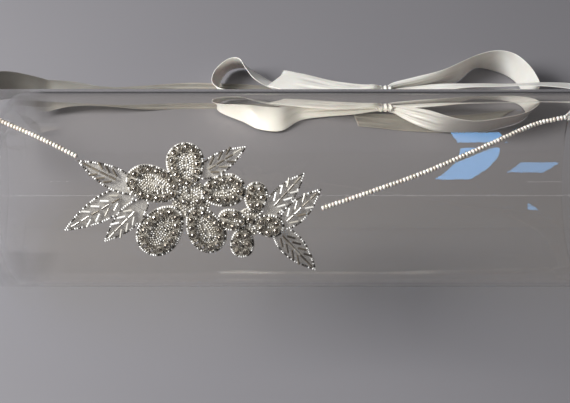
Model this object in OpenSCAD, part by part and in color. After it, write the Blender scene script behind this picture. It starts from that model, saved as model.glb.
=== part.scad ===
// Beaded halo headband, tied with a ribbon bow round a clear cylinder stand that lies on its side.
// Millimetres, +Z up. The origin is on the floor, below the middle of the whole. The applique faces -Y.

/* [Stand] */
// Outer diameter of the clear cylinder
stand_d = 99; // [98:1:100]
// Length of the clear cylinder
stand_l = 300; // [298:1:302]
// Thickness of its wall
stand_wall = 2; // [1.5:0.25:3]
// Thickness of its closed end
stand_base = 12; // [8:1:16]
// Radius that rounds the closed end's edge
stand_round = 2; // [1:0.25:3]
// Radius that rounds the hollow's corner inside the closed end
stand_corner = 8; // [4:1:12]

/* [Applique] */
// Angle above the horizon that the applique faces
face_tilt = 45; // [42:1:48]
// Thickness of the net backing
net_t = 1; // [1:0.1:1.2]
// Gap between one piece and the next
gap = 0.3; // [0.2:0.05:0.35]

/* [Stones and bugle beads] */
// Diameter of a round stone in its cup
stone_d = 3.2; // [2.8:0.1:3.2]
// Height of a stone with its cup
stone_h = 2.6; // [2.2:0.1:3]
// Diameter of a bugle bead
bugle_d = 1.3; // [1:0.1:1.4]
// Length of a bugle bead
bugle_l = 4; // [3:0.25:4.25]

/* [Strands] */
// Diameter of the small pearl beads on the two strands
strand_d = 2.4; // [2:0.1:2.6]

/* [Ribbon] */
// Width of the satin ribbon
ribbon_w = 19; // [17:0.5:19.5]
// Thickness of the ribbon's walls
ribbon_t = 1; // [1:0.1:1.2]

/* [Hidden] */

// The stand's axis lies along X at this place
stand_r = stand_d / 2;
stand_y = -51;
stand_z = stand_r;
curve_fn = 96;

// Heights above the stand's wall. The cups and the bugle beads stand this far clear of the net
stone_clear = 0.15;
bugle_clear = 0.1;
net_low = gap;
net_high = gap + net_t;
stone_low = net_high + stone_clear;
bugle_mid = net_high + bugle_clear + bugle_d / 2;
strand_mid = gap + strand_d / 2;

// The petals in the face plane, where x runs along the stand and w up across it, as seen square on.
// x, w: middle; dir: where the outer end points; long, wide: half sizes of the net;
// ring_long, ring_wide: half sizes of the row of stones; stones: how many it has.
// Columns: x, w, dir, long, wide, ring_long, ring_wide, stones
FLOWER = [
    [-45.8,  10.4,  99, 10.9,  8.8,  8.6, 5.7, 13],
    [-60.2,   1.6, 163, 13.4,  8.4, 10.2, 6.0, 14],
    [-57.4, -19.6, 231, 13.4,  9.8, 10.1, 6.2, 14],
    [-37.0, -19.2, 299, 11.8,  8.7,  8.8, 5.9, 13],
    [-28.4,  -1.2,   8, 10.6,  7.7,  7.9, 4.5, 11],
];
SMALL_FLOWER = [
    [-13.4,  -4.4,  86,  7.4,  5.6,  4.4, 3.1, 6],
    [-19.9, -25.4, 266,  7.4,  5.7,  4.6, 3.0, 6],
    [ -7.6, -17.4, 352,  7.6,  5.5,  4.3, 3.0, 6],
    [-24.2, -14.8, 172,  7.0,  5.2,  4.2, 2.8, 5],
];
// A petal is wider towards its outer end by this share
petal_egg = 0.16;
petal_sides = 32;
ring_turn = 5;

// The flowers' open middles: x, w, radius
FLOWER_MIDDLE = [-43, -5.6, 9];
SMALL_MIDDLE = [-16, -15.5, 6.5];

// Single stones between the rings. Columns: x, w
FLOWER_SINGLES = [[-46.2, -6.2], [-39.7, -6.0]];
SMALL_SINGLES = [[-16.2, -14.4]];

// The leaves, from where they come out below the flower to their tips, in the face plane.
// half: half the width; from: where along the leaf the bugle beads begin, from 0 at the base to 1;
// ribs: bugle beads along the midrib; sides: how many slant off each side of it
// Columns: base x, base w, tip x, tip w, half, from, ribs, sides
LEAF_UPPER_LEFT  = [-65.4,  -2.2, -95.0,  12.3, 5.6, 0.40, 4, 3];
LEAF_LONG_LEFT   = [-67.2,   0.2, -101.4, -19.4, 6.3, 0.24, 5, 4];
LEAF_LOWER_LEFT  = [-62.8,  -4.8, -83.4, -24.6, 5.5, 0.30, 4, 3];
LEAF_TOP         = [-40.9,   4.8, -18.4,  18.9, 5.2, 0.24, 4, 3];
LEAF_RIGHT_TIP   = [ -3.2, -19.2,  16.2,  -0.8, 5.4, 0.20, 4, 3];
LEAF_RIGHT_BACK  = [-10.5, -14.0,   8.8,   6.6, 5.2, 0.28, 4, 3];
LEAF_LOWER_RIGHT = [ -5.6, -17.2,  14.2, -38.6, 6.0, 0.22, 5, 4];
LEAVES = [LEAF_UPPER_LEFT, LEAF_LONG_LEFT, LEAF_LOWER_LEFT, LEAF_TOP,
          LEAF_RIGHT_TIP, LEAF_RIGHT_BACK, LEAF_LOWER_RIGHT];
leaf_steps = 14;
// How far a leaf's widest place lies towards its base, and how full its outline is
leaf_low = 0.82;
leaf_full = 0.9;

// The last bugle beads of the midrib and of the sides end here, from 0 at the base to 1 at the tip
rib_end = 0.93;
sides_end = 0.74;
// Space between two beads of the midrib, as a share of the leaf's length
rib_space = 0.016;
// A side bead starts this far off the midrib, slants by this angle and fills this share of the room
rib_gap = 0.15;
side_start = bugle_d + rib_gap;
side_slant = 32;
side_fill = 0.9;
// Where a side bead starts in its own stretch of the leaf, and how far the two sides differ
side_place = 0.3;
side_shift = 0.15;
bugle_sides = 10;

// The strands: first along the stand's front in the face plane, then free in the air.
// Columns of the first: x, w; of the second: x, back from the stand's axis, height
LEFT_ON_STAND = [[-95.8, 14.4], [-106.2, 19.6], [-118, 25], [-132.8, 31.2]];
LEFT_IN_AIR = [[-146, 0, 102.3], [-157, 14, 100], [-165, 32, 88.5], [-168, 49, 72.5]];
RIGHT_ON_STAND = [[16.8, -9.4], [34.3, -3.5], [63.6, 6.9], [94, 19.8], [108.9, 26.4], [119.2, 30.4]];
RIGHT_IN_AIR = [[131, -5.8, 101.9]];
strand_sides = 8;
strand_steps = 4;

// The ribbon's stretches. Each row is one place along the ribbon's middle line.
// x: along the stand; back: behind the stand's axis; lift: height of the ribbon's lowest edge;
// turn: compass angle of the line across the ribbon, 90 points away from the front;
// lean: how steeply that line rises, 0 lies flat and 90 stands on edge; width: as a share
// Columns: x, back, lift, turn, lean, width
RIBBON_LEFT = [
    [-168.1,  49.7,  71.3, 180,   0, 0.20], [-169.5,    62,  56.5, 176,   4, 0.60],
    [-171.0,    78,  40.5, 168,  10, 0.90], [-170.0,  99.5,  26.0, 140,  20, 1.00],
    [-163.0, 117.0,  14.0, 112,  24, 1.00], [-146.0, 126.5,   6.0,  98,   4, 1.00],
    [-128.0, 131.0,   1.6,  94, -22, 1.00], [-110.0, 129.5,   0.2,  90, -34, 0.86],
    [ -88.0, 130.5,   0.0,  90, -16, 0.66], [ -66.0, 133.5,   0.0,  90,   0, 0.54],
    [ -36.0, 133.5,   0.0,  90,   0, 0.50], [  -8.0, 131.5,   0.0,  94,   0, 0.50],
    [  24.0,   129,   0.3,  95,   0, 0.50], [  42.0,   127,   0.8,  96,   0, 0.42],
    [  52.6, 125.8,   1.5,  96,   0, 0.36],
];
RIBBON_RIGHT = [
    [ 131.9,  -5.6, 101.4, 100,   0, 0.20], [ 141.0,     0, 101.3, 112,  -4, 0.60],
    [ 153.4,    12,  98.4, 128,  -8, 0.90], [ 164.4,    32,  81.5, 145,  -6, 1.00],
    [ 170.0,    56,  58.5, 150,  -4, 1.00], [ 172.0,    80,  39.5, 130, -12, 1.00],
    [ 166.0, 100.5,  26.5, 105, -24, 1.00], [ 150.0,   109,  20.1,  96, -34, 1.00],
    [ 130.0, 114.5,  14.5,  92, -36, 1.00], [ 104.0, 119.5,  10.2,  90, -32, 0.90],
    [  82.0, 121.5,   7.8,  88, -20, 0.62], [  66.4, 124.6,   6.2,  90,  -6, 0.14],
];
LOOP_LEFT = [
    [  52.6, 122.0,   3.0,  90,  60, 0.42], [  42.0, 122.0,   2.0,  90,  44, 0.60],
    [  26.0, 121.5,   1.8,  90,  34, 0.76], [  10.0, 118.0,   1.6,  90,  36, 0.92],
    [  -2.0, 106.0,   1.2,  90,  44, 1.00], [ -15.0, 105.5,   1.4,  90,  58, 1.00],
    [ -24.0, 108.5,   1.6,  92,  86, 1.00], [ -33.0, 113.0,   1.8, 100, 106, 1.00],
    [ -39.5, 119.5,   1.8, 100, 122, 1.00], [ -41.5, 130.5,   1.8,  76, 136, 1.00],
    [ -39.3, 140.0,   1.6,  68, 132, 1.00], [ -33.5, 146.5,   1.4,  78, 122, 1.00],
    [ -26.5, 147.5,   1.6,  74, 124, 1.00], [ -19.5, 140.5,   1.8,  54, 134, 1.00],
    [ -11.0, 132.0,   2.0,  50, 144, 1.00], [   5.0, 128.5,   2.2,  66, 160, 0.92],
    [  28.0, 127.5,   2.6,  78, 168, 0.66], [  52.6, 127.2,   3.6,  82, 162, 0.40],
];
LOOP_RIGHT = [
    [  66.4, 120.4,   1.6,  90,  66, 0.46], [  72.0, 113.3,   1.4,  90,  68, 0.64],
    [  80.0, 105.0,   1.2,  90,  78, 0.84], [  92.0,  96.4,   1.0,  90, 102, 1.00],
    [ 108.0,  94.0,   1.0,  92, 115, 1.00], [ 123.0,  97.6,   0.8, 104, 116, 1.00],
    [ 138.5, 105.0,   0.6, 130, 115, 1.00], [ 147.0, 115.5,   0.4, 160, 108, 1.00],
    [ 147.0, 126.0,   0.3, 180, 102, 1.00], [ 144.3, 136.5,   0.2, 205,  96, 1.00],
    [ 139.0, 145.2,   0.1, 240,  90, 1.00], [ 130.0, 150.4,   0.0, 264,  80, 1.00],
    [ 118.0, 150.6,   0.0, 274,  67, 1.00], [ 106.0, 139.8,   0.2, 272,  76, 1.00],
    [  94.0, 132.0,   1.0, 270,  76, 0.94], [  80.0, 129.0,   2.0, 269,  74, 0.70],
    [  66.4, 127.8,   2.8, 268,  76, 0.44],
];
TAIL_UPPER = [
    [  52.6, 120.5,  11.8,  74,   0, 0.36], [  44.0, 119.0,  12.0,  72,   0, 0.52],
    [  30.0, 118.0,  13.3,  72,  -2, 0.76], [  12.0, 121.5,  14.2,  72,  -3, 0.98],
    [  -4.5, 127.5,  13.7,  72,  -3, 1.00],
];
TAIL_LOWER = [
    [  42.0, 114.0,   0.0, 100,   0, 0.90], [  58.0, 111.5,   0.0,  98,   0, 0.96],
    [  74.0, 109.5,   0.0,  95,   0, 1.00], [  90.0, 108.5,   0.0,  88,   0, 1.00],
    [ 106.0, 110.0,   0.0,  78,   0, 1.00], [ 120.0, 113.5,   0.0,  74,   0, 1.00],
    [ 130.0, 116.5,   0.0,  74,   0, 1.00],
];
ribbon_steps = 3;
// How far each tail's cut end slants along the ribbon
tail_slant = 7;

// The knot, a gathered band wound round the ribbons
KNOT = [59.5, 124.0, 6.2];
knot_l = 12;
knot_r = 4.9;
knot_pleats = 4;
pleat_depth = 0.7;
pleat_steps = 6;
// Radius of the knot's two ends, as a share
knot_end = 0.59;

// One flat list out of a list of lists
function flat(lists) = [for (each_one = lists) for (item = each_one) item];

// The point above the stand's wall that lies behind a point of the face plane
function on_stand(x, w, high) =
    let (angle = face_tilt + asin(w / (stand_r + net_high)), r = stand_r + high)
    [x, stand_y - r * cos(angle), stand_z + r * sin(angle)];

// A smooth curve's value between rows b and c of a table, at t from 0 to 1
function between(a, b, c, d, t) =
    0.5 * (2 * b + (c - a) * t + (2 * a - 5 * b + 4 * c - d) * t * t
           + (3 * b - a - 3 * c + d) * t * t * t);
function row_at(table, i) = table[max(0, min(len(table) - 1, i))];
function smooth(table, steps) = concat(
    [for (i = [0 : len(table) - 2]) for (k = [0 : steps - 1])
        between(row_at(table, i - 1), table[i], table[i + 1], row_at(table, i + 2), k / steps)],
    [table[len(table) - 1]]);

// A petal's outline, and the places of its stones, which are evenly spaced along the ring
function petal_point(p, long, wide, angle) =
    let (u = long * cos(angle), v = wide * sin(angle) * (1 + petal_egg * cos(angle)))
    [p[0] + u * cos(p[2]) - v * sin(p[2]), p[1] + u * sin(p[2]) + v * cos(p[2])];
function petal_outline(p, grow) =
    [for (k = [0 : petal_sides - 1]) petal_point(p, p[3] + grow, p[4] + grow, 360 * k / petal_sides)];
function ring_step(p, angle, step) =
    let (a = petal_point(p, p[5], p[6], angle), b = petal_point(p, p[5], p[6], angle + step))
    norm(on_stand(a[0], a[1], net_high) - on_stand(b[0], b[1], net_high));
function ring_lengths(p) =
    [for (angle = 0, run = 0; angle <= 360;
          run = run + ring_step(p, angle, ring_turn), angle = angle + ring_turn)
        [run, angle]];
function ring_stones(p) =
    let (lengths = ring_lengths(p), whole = lengths[len(lengths) - 1][0])
    [for (k = [0 : p[7] - 1]) petal_point(p, p[5], p[6], lookup(whole * (k + 0.5) / p[7], lengths))];

// A leaf's outline: widest below its middle, drawn out to a point at its tip
function leaf_half(t) = pow(sin(180 * pow(t, leaf_low)), leaf_full);
function leaf_axis(l) = [l[2] - l[0], l[3] - l[1]] / norm([l[2] - l[0], l[3] - l[1]]);
function leaf_point(l, t, side) =
    let (axis = leaf_axis(l), long = norm([l[2] - l[0], l[3] - l[1]]))
    [l[0], l[1]] + t * long * axis + side * [-axis[1], axis[0]];
function leaf_outline(l, grow) = concat(
    [for (k = [0 : leaf_steps]) leaf_point(l, k / leaf_steps, (l[4] + grow) * leaf_half(k / leaf_steps))],
    [for (k = [leaf_steps - 1 : -1 : 1])
        leaf_point(l, k / leaf_steps, -(l[4] + grow) * leaf_half(k / leaf_steps))]);

// The two ends of each bugle bead of a leaf, in the face plane
function rib_bugles(l) =
    let (long = norm([l[2] - l[0], l[3] - l[1]]), pitch = (rib_end - l[5]) / l[6],
         reach = min(bugle_l / long, pitch - rib_space) / 2)
    [for (k = [0 : l[6] - 1]) let (t = l[5] + (k + 0.5) * pitch)
        [leaf_point(l, t - reach, 0), leaf_point(l, t + reach, 0)]];
function side_bugle(l, t, side) =
    let (long = norm([l[2] - l[0], l[3] - l[1]]), room = (l[4] * leaf_half(t) - side_start) * side_fill,
         reach = min(bugle_l, room / sin(side_slant)))
    [leaf_point(l, t, side * side_start),
     leaf_point(l, t + reach * cos(side_slant) / long, side * (side_start + reach * sin(side_slant)))];
function side_bugles(l) =
    [for (side = [-1, 1]) for (k = [0 : l[7] - 1])
        side_bugle(l, l[5] + (k + side_place + side_shift * side) * (sides_end - l[5]) / l[7], side)];

// Faces of a closed body made of rings of n points each: triangles along its sides, and flat ends
function ring_faces(rings, n, first) = concat(
    [[for (k = [0 : n - 1]) first + k]],
    [for (i = [0 : rings - 2]) for (k = [0 : n - 1]) for (half = [0, 1])
        let (a = first + i * n + k, b = first + i * n + (k + 1) % n)
        half == 0 ? [a, a + n, b + n] : [a, b + n, b]],
    [[for (k = [n - 1 : -1 : 0]) first + (rings - 1) * n + k]]);

// The rings of a round tube along a path
function tangent(path, i) =
    let (a = path[max(0, i - 1)], b = path[min(len(path) - 1, i + 1)]) (b - a) / norm(b - a);
function tube_rings(path, r, n) =
    [for (i = [0 : len(path) - 1])
        let (ahead = tangent(path, i), side = cross(ahead, [0, 0, 1]) / norm(cross(ahead, [0, 0, 1])),
             up = cross(ahead, side))
        for (k = [0 : n - 1]) path[i] + r * cos(360 * k / n) * side + r * sin(360 * k / n) * up];
module tube(path, r, n) {
    polyhedron(tube_rings(path, r, n), ring_faces(len(path), n, 0));
}

// A ribbon's four corners at each place along it
function across(row) = [cos(row[4]) * cos(row[3]), cos(row[4]) * sin(row[3]), sin(row[4])];
function ribbon_middle(row) =
    let (half = ribbon_w * row[5] / 2)
    [row[0], stand_y + row[1], max(0, row[2]) + half * abs(sin(row[4])) + ribbon_t / 2];
module ribbon(table, slant_start, slant_end) {
    rows = smooth(table, ribbon_steps);
    last = len(rows) - 1;
    path = [for (row = rows) ribbon_middle(row)];
    corners = flat([for (i = [0 : last])
        let (ahead = tangent(path, i), half = ribbon_w * rows[i][5] / 2, wide = across(rows[i]),
             up = cross(ahead, wide) / norm(cross(ahead, wide)) * ribbon_t / 2,
             skew = i == 0 ? slant_start : i == last ? slant_end : 0)
        [path[i] + half * wide + up + skew * ahead, path[i] - half * wide + up - skew * ahead,
         path[i] - half * wide - up - skew * ahead, path[i] + half * wide - up + skew * ahead]]);
    polyhedron(corners, ring_faces(last + 1, 4, 0));
}

// A net sheet of the outline given in the face plane, bent round the stand.
// The outline cuts a thin pipe, on the side that the face plane looks from alone
module net_sheet() {
    intersection() {
        translate([0, stand_y, stand_z]) rotate([0, 90, 0]) difference() {
            cylinder(h = stand_l, r = stand_r + net_high, center = true, $fn = curve_fn);
            cylinder(h = stand_l + 2, r = stand_r + net_low, center = true, $fn = curve_fn);
        }
        translate([0, stand_y, stand_z]) rotate([90 - face_tilt, 0, 0])
            translate([0, 0, stand_r / 4]) linear_extrude(height = stand_r) children();
    }
}
module petals_flat(petals, middle, grow) {
    for (p = petals) polygon(petal_outline(p, grow));
    translate([middle[0], middle[1]]) circle(r = middle[2] + grow, $fn = petal_sides);
}
module flower_flat(grow) { petals_flat(FLOWER, FLOWER_MIDDLE, grow); }
module small_flower_flat(grow) { petals_flat(SMALL_FLOWER, SMALL_MIDDLE, grow); }

// Leaf number i, cut back from the flowers and from the leaves before it
module leaf(i) {
    color("gainsboro") net_sheet() difference() {
        polygon(leaf_outline(LEAVES[i], 0));
        flower_flat(gap);
        small_flower_flat(gap);
        if (i > 0) for (k = [0 : i - 1]) polygon(leaf_outline(LEAVES[k], 2 * gap));
    }
}

// A faceted stone with a table, standing in its cup.
// Columns: height and radius of each level, as shares
stone_levels = [[0, 0.86], [0.42, 1], [0.62, 0.94], [1, 0.58]];
stone_sides = 8;
function stone_rings(spot) =
    let (a = on_stand(spot[0], spot[1], stone_low), b = on_stand(spot[0], spot[1], stone_low + 1),
         out = b - a, up = cross(out, [1, 0, 0]))
    [for (level = stone_levels) for (k = [0 : stone_sides - 1])
        a + out * stone_h * level[0]
          + stone_d / 2 * level[1] * (cos(360 * k / stone_sides) * [1, 0, 0] + sin(360 * k / stone_sides) * up)];
module stones(spots) {
    each_one = len(stone_levels) * stone_sides;
    color("dimgray") polyhedron(
        flat([for (spot = spots) stone_rings(spot)]),
        flat([for (i = [0 : len(spots) - 1]) ring_faces(len(stone_levels), stone_sides, i * each_one)]));
}

// The clear cylinder, closed at its left end, with a round lip at its mouth
module stand_section() {
    lip = stand_wall / 2;
    difference() {
        union() {
            square([stand_r - stand_round, stand_round]);
            translate([0, stand_round]) square([stand_r, stand_l - stand_round - lip]);
            translate([stand_r - stand_round, stand_round]) circle(r = stand_round, $fn = 32);
        }
        translate([0, stand_base]) square([stand_r - stand_wall - stand_corner, stand_l]);
        translate([0, stand_base + stand_corner]) square([stand_r - stand_wall, stand_l]);
        translate([stand_r - stand_wall - stand_corner, stand_base + stand_corner])
            circle(r = stand_corner, $fn = 64);
    }
    translate([stand_r - lip, stand_l - lip]) circle(r = lip, $fn = 32);
}
module stand_cylinder() {
    color("lightcyan", 0.4) translate([-stand_l / 2, stand_y, stand_z]) rotate([0, 90, 0])
        rotate_extrude($fn = curve_fn) stand_section();
}

module flower_net() { color("ghostwhite") net_sheet() flower_flat(0); }
module small_flower_net() {
    color("ghostwhite") net_sheet() difference() {
        small_flower_flat(0);
        flower_flat(gap);
    }
}
module leaf_upper_left() { leaf(0); }
module leaf_long_left() { leaf(1); }
module leaf_lower_left() { leaf(2); }
module leaf_top() { leaf(3); }
module leaf_right_tip() { leaf(4); }
module leaf_right_back() { leaf(5); }
module leaf_lower_right() { leaf(6); }
module flower_stones() { stones(concat(flat([for (p = FLOWER) ring_stones(p)]), FLOWER_SINGLES)); }
module small_flower_stones() {
    stones(concat(flat([for (p = SMALL_FLOWER) ring_stones(p)]), SMALL_SINGLES));
}
module leaf_bugles() {
    ends = flat([for (l = LEAVES) concat(rib_bugles(l), side_bugles(l))]);
    color("silver") polyhedron(
        flat([for (e = ends)
            tube_rings([for (p = e) on_stand(p[0], p[1], bugle_mid)], bugle_d / 2, bugle_sides)]),
        flat([for (i = [0 : len(ends) - 1]) ring_faces(2, bugle_sides, 2 * bugle_sides * i)]));
}
module strand(on, air) {
    rows = concat([for (p = on) on_stand(p[0], p[1], strand_mid)],
                  [for (p = air) [p[0], stand_y + p[1], p[2]]]);
    color("ivory") tube(smooth(rows, strand_steps), strand_d / 2, strand_sides);
}
module strand_left() { strand(LEFT_ON_STAND, LEFT_IN_AIR); }
module strand_right() { strand(RIGHT_ON_STAND, RIGHT_IN_AIR); }
module ribbon_left() { color("floralwhite") ribbon(RIBBON_LEFT, 0, 0); }
module ribbon_right() { color("floralwhite") ribbon(RIBBON_RIGHT, 0, 0); }
module bow_loop_left() { color("floralwhite") ribbon(LOOP_LEFT, 0, 0); }
module bow_loop_right() { color("floralwhite") ribbon(LOOP_RIGHT, 0, 0); }
module tail_upper() { color("floralwhite") ribbon(TAIL_UPPER, 0, -tail_slant / 2); }
module tail_lower() { color("floralwhite") ribbon(TAIL_LOWER, 0, tail_slant); }

// The knot's round body, with a groove between each pleat and the next
module bow_knot() {
    pitch = (knot_l - gap) / knot_pleats;
    color("seashell") translate([KNOT[0], stand_y + KNOT[1], KNOT[2]]) rotate([0, 90, 0])
        rotate_extrude($fn = curve_fn) polygon(concat(
            [[0, -knot_l / 2 + gap]],
            [for (k = [0 : pleat_steps * knot_pleats])
                let (z = -knot_l / 2 + gap + k * (knot_l - 2 * gap) / (pleat_steps * knot_pleats),
                     end = max(knot_end, sqrt(1 - pow(abs(2 * z / knot_l), 4))))
                [(knot_r - pleat_depth * pow(abs(cos(180 * z / pitch)), 3)) * end, z]],
            [[0, knot_l / 2 - gap]]));
}

stand_cylinder();
flower_net();
small_flower_net();
leaf_upper_left();
leaf_long_left();
leaf_lower_left();
leaf_top();
leaf_right_tip();
leaf_right_back();
leaf_lower_right();
flower_stones();
small_flower_stones();
leaf_bugles();
strand_left();
strand_right();
ribbon_left();
ribbon_right();
bow_knot();
bow_loop_left();
bow_loop_right();
tail_upper();
tail_lower();
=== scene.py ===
"""Looks of the beaded halo headband, tied with a ribbon bow round a clear cylinder stand."""
import math
import random

import bmesh
import bpy
from mathutils import Matrix, Vector


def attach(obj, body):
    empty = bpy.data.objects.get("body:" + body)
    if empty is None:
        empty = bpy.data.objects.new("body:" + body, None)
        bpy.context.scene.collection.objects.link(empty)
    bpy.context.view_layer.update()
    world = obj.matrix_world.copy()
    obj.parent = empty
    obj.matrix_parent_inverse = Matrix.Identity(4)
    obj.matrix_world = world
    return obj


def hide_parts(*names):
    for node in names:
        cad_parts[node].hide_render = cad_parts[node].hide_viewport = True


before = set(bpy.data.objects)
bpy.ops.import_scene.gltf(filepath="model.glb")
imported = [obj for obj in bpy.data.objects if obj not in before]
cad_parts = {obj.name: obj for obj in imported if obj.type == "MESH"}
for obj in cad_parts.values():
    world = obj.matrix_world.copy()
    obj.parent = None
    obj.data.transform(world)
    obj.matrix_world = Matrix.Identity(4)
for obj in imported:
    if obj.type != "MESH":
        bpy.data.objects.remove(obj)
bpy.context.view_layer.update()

MM = 0.001

# The clear cylinder, in millimetres
STAND_R = 49.5
STAND_L = 300.0
STAND_WALL = 2.0
STAND_BASE = 12.0
STAND_ROUND = 2.0
STAND_Y = -51.0
STAND_Z = 49.5
# Where the glass turns fainter towards its closed end, in metres, and how faint it gets
FADE_STOP = -0.118
FADE_START = -0.134
FADE_TO = 0.3
# The radius of the face plane's round, on which the flowers and leaves are laid out
FACE_R = STAND_R + 1.3
# The height above the wall at which lengths and directions are taken
SEWN_HIGH = 1.0

# The petals in the face plane: x, w, direction, half sizes of the net and of the row of stones, stones
FLOWER = [
    (-45.8, 10.4, 99, 10.9, 8.8, 8.6, 5.7, 13),
    (-60.2, 1.6, 163, 13.4, 8.4, 10.2, 6.0, 14),
    (-57.4, -19.6, 231, 13.4, 9.8, 10.1, 6.2, 14),
    (-37.0, -19.2, 299, 11.8, 8.7, 8.8, 5.9, 13),
    (-28.4, -1.2, 8, 10.6, 7.7, 7.9, 4.5, 11),
]
SMALL_FLOWER = [
    (-13.4, -4.4, 86, 7.4, 5.6, 4.4, 3.1, 6),
    (-19.9, -25.4, 266, 7.4, 5.7, 4.6, 3.0, 6),
    (-7.6, -17.4, 352, 7.6, 5.5, 4.3, 3.0, 6),
    (-24.2, -14.8, 172, 7.0, 5.2, 4.2, 2.8, 5),
]
PETAL_EGG = 0.16
# Where a petal's row holds the two half sizes of its net and of its stones
NET = 3
STONES = 5
# The open middles of the flowers: x, w, radius
FLOWER_MIDDLE = (-43.0, -5.6, 9.0)
SMALL_MIDDLE = (-16.0, -15.5, 6.5)
FLOWER_SINGLES = [(-46.2, -6.2), (-39.7, -6.0)]
SMALL_SINGLES = [(-16.2, -14.4)]
STONE_HIGH = 1.35
# How high the kites' lower points are, as a share of the stone's crown
KITE_HIGH = 0.58 / 0.95
STONE_R = 1.6
STONE_TILT = 0.07
STONE_ROOM = 1.7

# The flowers' nets: lowest height of the solid and of the thinner piece made from it, and its share
NET_SOLID_LOW = 0.3
NET_LOW = 0.35
NET_THIN = 0.5
# The tulle's height, and how much lower each next leaf is
TULLE_HIGH = 0.62
TULLE_STEP = 0.04
TULLE_INSET = 0.5

# The leaves: base x, base w, tip x, tip w, half width, start of the bugle beads, midrib beads, side
# beads, and how bright the side beads are, from 0 for grey to 1 for white, at least and at most.
# A leaf that is sewn over its neighbours comes before them.
LEAVES = {
    "leaf_upper_left": (-65.4, -2.2, -95.0, 12.3, 5.6, 0.40, 4, 3, 0, 0.4),
    "leaf_lower_left": (-62.8, -4.8, -83.4, -24.6, 5.5, 0.30, 4, 3, 0.6, 1),
    "leaf_long_left": (-67.2, 0.2, -101.4, -19.4, 6.3, 0.24, 5, 4, 0.5, 1),
    "leaf_top": (-40.9, 4.8, -18.4, 18.9, 5.2, 0.24, 4, 3, 0, 0.45),
    "leaf_right_tip": (-3.2, -19.2, 16.2, -0.8, 5.4, 0.20, 4, 3, 0.3, 1),
    "leaf_right_back": (-10.5, -14.0, 8.8, 6.6, 5.2, 0.28, 4, 3, 0.55, 1),
    "leaf_lower_right": (-5.6, -17.2, 14.2, -38.6, 6.0, 0.22, 5, 4, 0, 0.35),
}
# The midribs' bugles are greyer
RIB_TONES = (0.2, 0.6)
# A leaf's outline, and where its bugles lie along it
LEAF_LOW = 0.82
LEAF_FULL = 0.9
RIB_END = 0.93
SIDES_END = 0.74
RIB_SPACE = 0.016
BUGLE_D = 1.3
BUGLE_L = 4.0
SIDE_START = BUGLE_D + 0.15
SIDE_SLANT = 32.0
SIDE_FILL = 0.9
SIDE_PLACE = 0.3
SIDE_SHIFT = 0.15
BUGLE_HIGH = 1.66

# How light a seed bead is: along the edges white, or near black as painted shade for the dark gaps between
# beads; mostly dull in the filled fields
EDGE_TONES = (0.05, 0.15, 0.9, 0.95, 1.0)
FILL_TONES = (0.15, 0.5, 0.6, 0.66, 0.72, 0.76, 0.8, 0.84, 0.88, 1.0)
# The radius that a seed bead is made with, before it is scaled
BEAD_R = 0.7
# Seed beads: height above the wall, radius, how near they come, tones, share with the hole upwards
PETAL_EDGE = (1.4, 0.58, 0.8, EDGE_TONES, 0.0)
PETAL_FILL = (1.3, 0.52, 0.88, FILL_TONES, 0.1)
PETAL_CENTRE = (1.3, 0.52, 0.88, FILL_TONES, 0.0)
GAP_FILL = (1.3, 0.52, 0.86, FILL_TONES, 0.1)
MIDDLE_FILL = (1.35, 0.56, 0.9, FILL_TONES, 0.2)
LEAF_EDGE = (1.2, 0.56, 0.75, EDGE_TONES, 0.0)
# Their rows: how far an edge, a petal's filling and the gaps' filling lie from the outline or stones
EDGE_INSET = 0.7
EDGE_PITCH = 1.12
FILL_INSET = 2.2
FILL_PITCH = 1.15
GAP_OUT = 1.75
GAP_PITCH = 1.4
MIDDLE_STEP = 1.2
MIDDLE_PITCH = 1.25

# The strands: on the stand's front in the face plane, then free in the air as x, back, height
LEFT_ON_STAND = [(-95.8, 14.4), (-106.2, 19.6), (-118, 25), (-132.8, 31.2)]
LEFT_IN_AIR = [(-146, 0, 102.3), (-157, 14, 100), (-165, 32, 88.5), (-168, 49, 72.5)]
RIGHT_ON_STAND = [(16.8, -9.4), (34.3, -3.5), (63.6, 6.9), (94, 19.8), (108.9, 26.4), (119.2, 30.4)]
RIGHT_IN_AIR = [(131, -5.8, 101.9)]
STRAND_D = 2.4
STRAND_PITCH = 1.65
STRAND_HIGH = 1.5

# The ribbon: x, back, height of the lowest edge, compass angle across, slope across, share of the width
RIBBON_W = 19.0
RIBBON_THICK = 0.35
# The room kept below the ribbon's lowest edge, and the lowest that any point of it may come
RIBBON_LIFT = 0.45
RIBBON_FLOOR = 0.25
RIBBON_LEFT = [
    (-168.1, 49.7, 71.3, 180, 0, 0.2), (-169.5, 62, 56.5, 176, 4, 0.6),
    (-171, 78, 40.5, 168, 10, 0.9), (-170, 99.5, 26, 140, 20, 1),
    (-163, 117, 14, 112, 24, 1), (-146, 126.5, 6, 98, 4, 1),
    (-128, 131, 1.6, 94, -22, 1), (-110, 129.5, 0.2, 90, -34, 0.86),
    (-88, 130.5, 0, 90, -16, 0.66), (-66, 133.5, 0, 90, 0, 0.54),
    (-36, 133.5, 0, 90, 0, 0.5), (-8, 131.5, 0, 94, 0, 0.5),
    (24, 129, 0.3, 95, 0, 0.5), (42, 127, 0.8, 96, 0, 0.42),
    (52.6, 125.8, 1.5, 96, 0, 0.36),
]
RIBBON_RIGHT = [
    (131.9, -5.6, 101.4, 100, 0, 0.2), (141, 0, 101.3, 112, -4, 0.6),
    (153.4, 12, 98.4, 128, -8, 0.9), (164.4, 32, 81.5, 145, -6, 1),
    (170, 56, 58.5, 150, -4, 1), (172, 80, 39.5, 130, -12, 1),
    (166, 100.5, 26.5, 105, -24, 1), (150, 109, 20.1, 96, -34, 1),
    (130, 114.5, 14.5, 92, -36, 1), (104, 119.5, 10.2, 90, -32, 0.9),
    (82, 121.5, 7.8, 88, -20, 0.62), (66.4, 124.6, 6.2, 90, -6, 0.14),
]
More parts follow.
